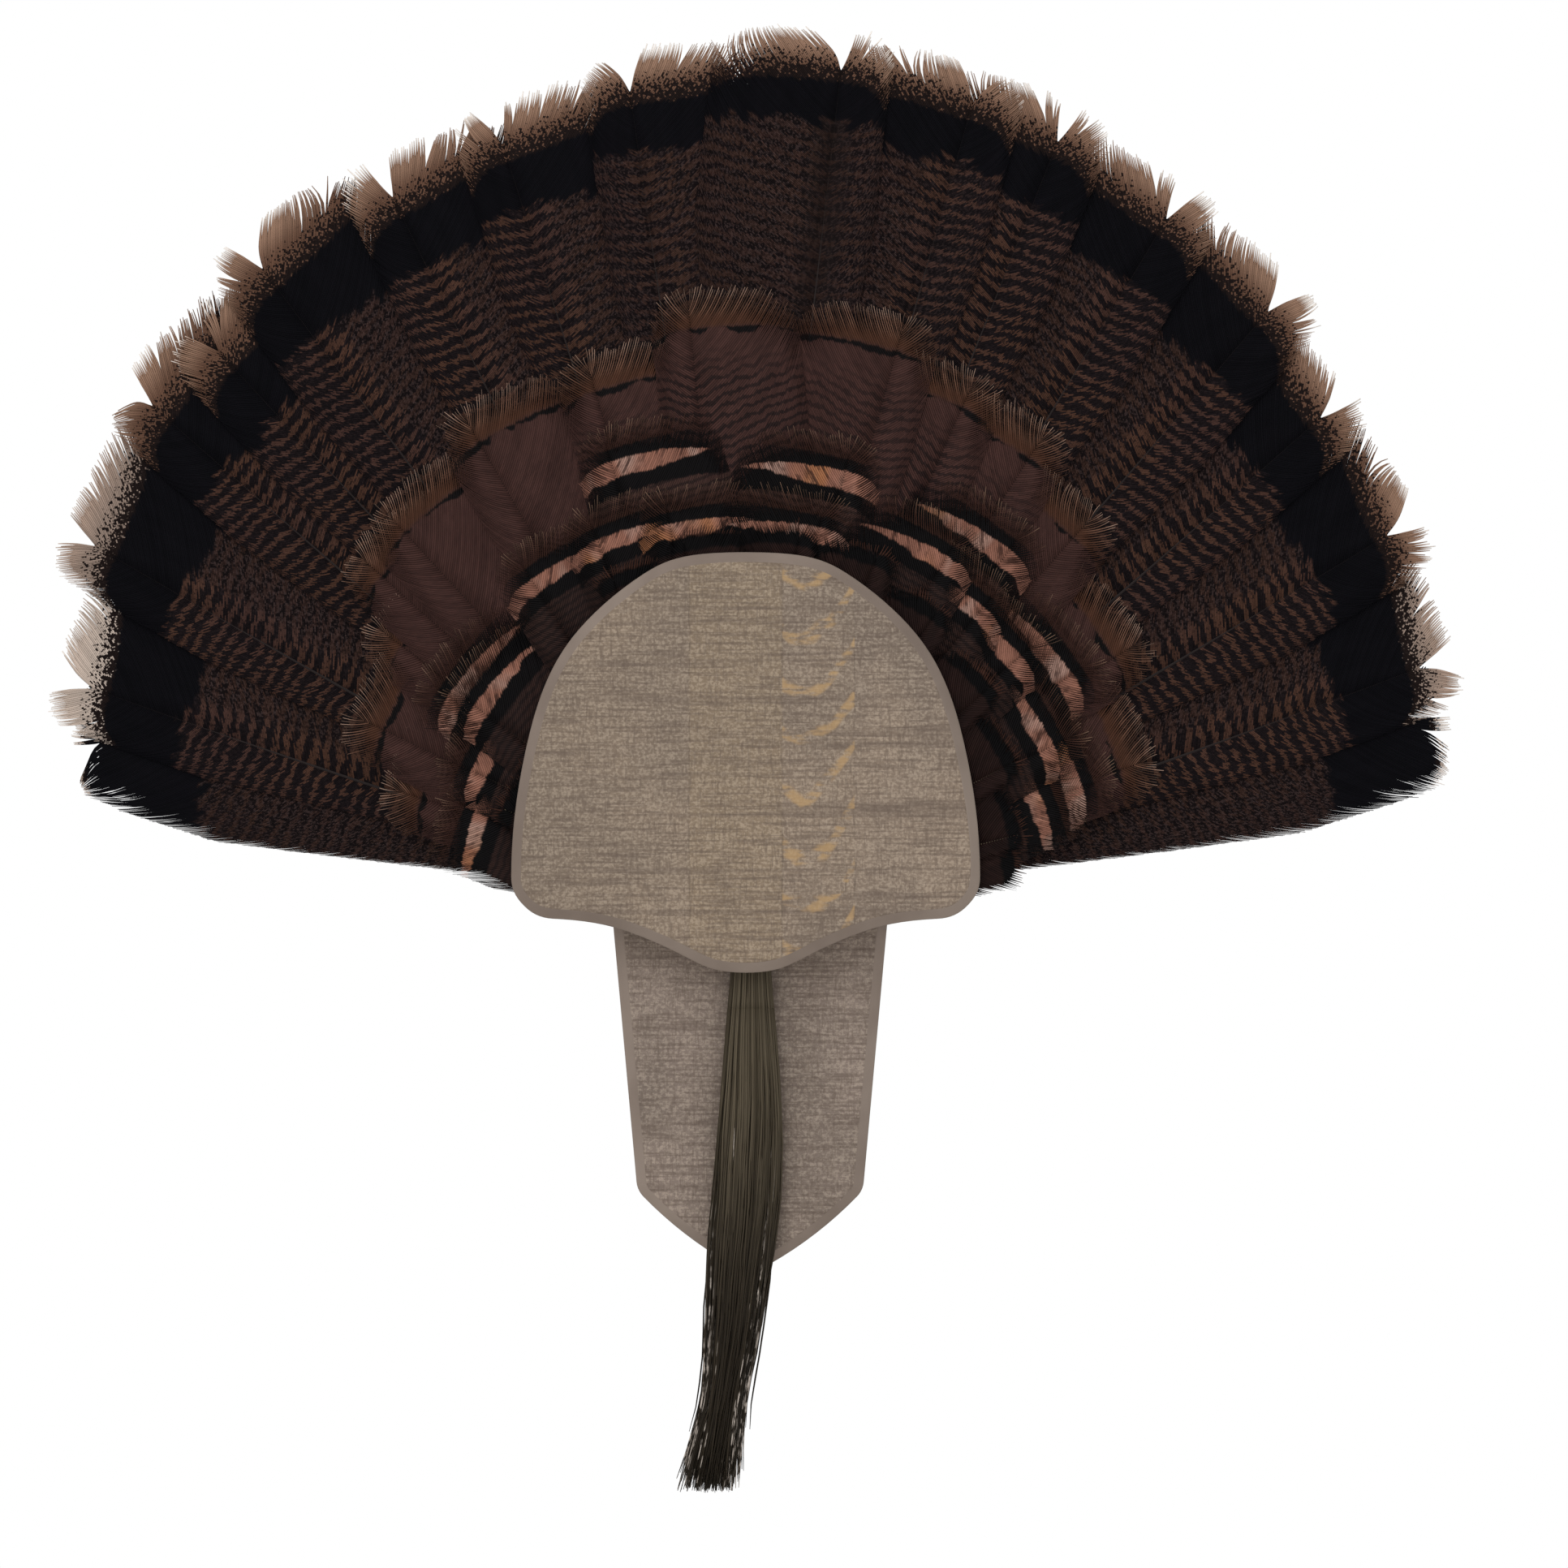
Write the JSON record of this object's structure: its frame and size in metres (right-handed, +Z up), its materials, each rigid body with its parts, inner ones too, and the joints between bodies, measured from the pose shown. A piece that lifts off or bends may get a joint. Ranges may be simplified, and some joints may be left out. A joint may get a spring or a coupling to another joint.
{
  "type": "turkey tail fan and beard wall mount",
  "caption": "Spread turkey tail fan in layered feathers and coverts, clamped between two weathered wooden panels, with a beard hanging free below.",
  "frame": {"origin": "on the flat back of the back panel, where it rests on the wall, behind the middle of the fan", "axes": "+X to the viewer's right, +Y into the wall, +Z up; the front faces -Y"},
  "size_m": [0.6924, 0.0444, 0.7164],
  "materials": {
    "front_wood": "rough-sawn, grey stain",
    "back_wood": "rough-sawn, grey stain",
    "tail_vane": "matte feather",
    "long_covert": "satin feather",
    "middle_covert": "satin feather",
    "copper_covert": "iridescent feather",
    "short_covert": "matte feather",
    "filler": "matte hardened filler",
    "dried_skin": "matte",
    "beard_hair": "coarse hair, slight sheen",
    "screw_steel": "zinc plated, yellow",
    "hanger_steel": "zinc plated"
  },
  "bodies": {
    "root": {"front_panel": "front_wood", "back_panel": "back_wood", "fan_base": "filler", "covert_skin": "dried_skin", "short_coverts": "short_covert", "panel_screws": "screw_steel", "fan_screws": "screw_steel", "beard_base": "dried_skin", "beard_screw": "screw_steel", "sawtooth_hanger": "hanger_steel", "hanger_nails": "hanger_steel", "tail_feather_01": "tail_vane", "tail_feather_02": "tail_vane", "tail_feather_03": "tail_vane", "tail_feather_04": "tail_vane", "tail_feather_05": "tail_vane", "tail_feather_06": "tail_vane", "tail_feather_07": "tail_vane", "tail_feather_08": "tail_vane", "tail_feather_09": "tail_vane", "tail_feather_10": "tail_vane", "tail_feather_11": "tail_vane", "tail_feather_12": "tail_vane", "tail_feather_13": "tail_vane", "tail_feather_14": "tail_vane", "tail_feather_15": "tail_vane", "tail_feather_16": "tail_vane", "tail_feather_17": "tail_vane", "tail_feather_18": "tail_vane", "long_covert_01": "long_covert", "long_covert_02": "long_covert", "long_covert_03": "long_covert", "long_covert_04": "long_covert", "long_covert_05": "long_covert", "long_covert_06": "long_covert", "long_covert_07": "long_covert", "long_covert_08": "long_covert", "long_covert_09": "long_covert", "long_covert_10": "long_covert", "long_covert_11": "long_covert", "long_covert_12": "long_covert", "long_covert_13": "long_covert", "long_covert_14": "long_covert", "middle_covert_1": "middle_covert", "middle_covert_2": "middle_covert", "middle_covert_3": "middle_covert", "middle_covert_4": "middle_covert", "middle_covert_5": "middle_covert", "middle_covert_6": "middle_covert", "copper_covert_pair_1": "copper_covert", "copper_covert_pair_2": "copper_covert", "copper_covert_pair_3": "copper_covert", "copper_covert_pair_4": "copper_covert", "copper_covert_pair_5": "copper_covert", "copper_covert_pair_6": "copper_covert"},
    "beard_upper": {"beard_hair_upper": "beard_hair"},
    "beard_lower": {"beard_hair_lower": "beard_hair"}
  },
  "joints": [
    {"name": "beard_sway", "type": "hinge", "parent": "root", "child": "beard_upper", "pos_m": [0.0024, -0.02555, -0.046], "axis": [0, -1, 0], "range_deg": [-20, 20]},
    {"name": "beard_lift", "type": "hinge", "parent": "beard_upper", "child": "beard_lower", "pos_m": [0.0022, -0.02555, -0.075], "axis": [-1, 0, 0], "range_deg": [0, 50]}
  ]
}
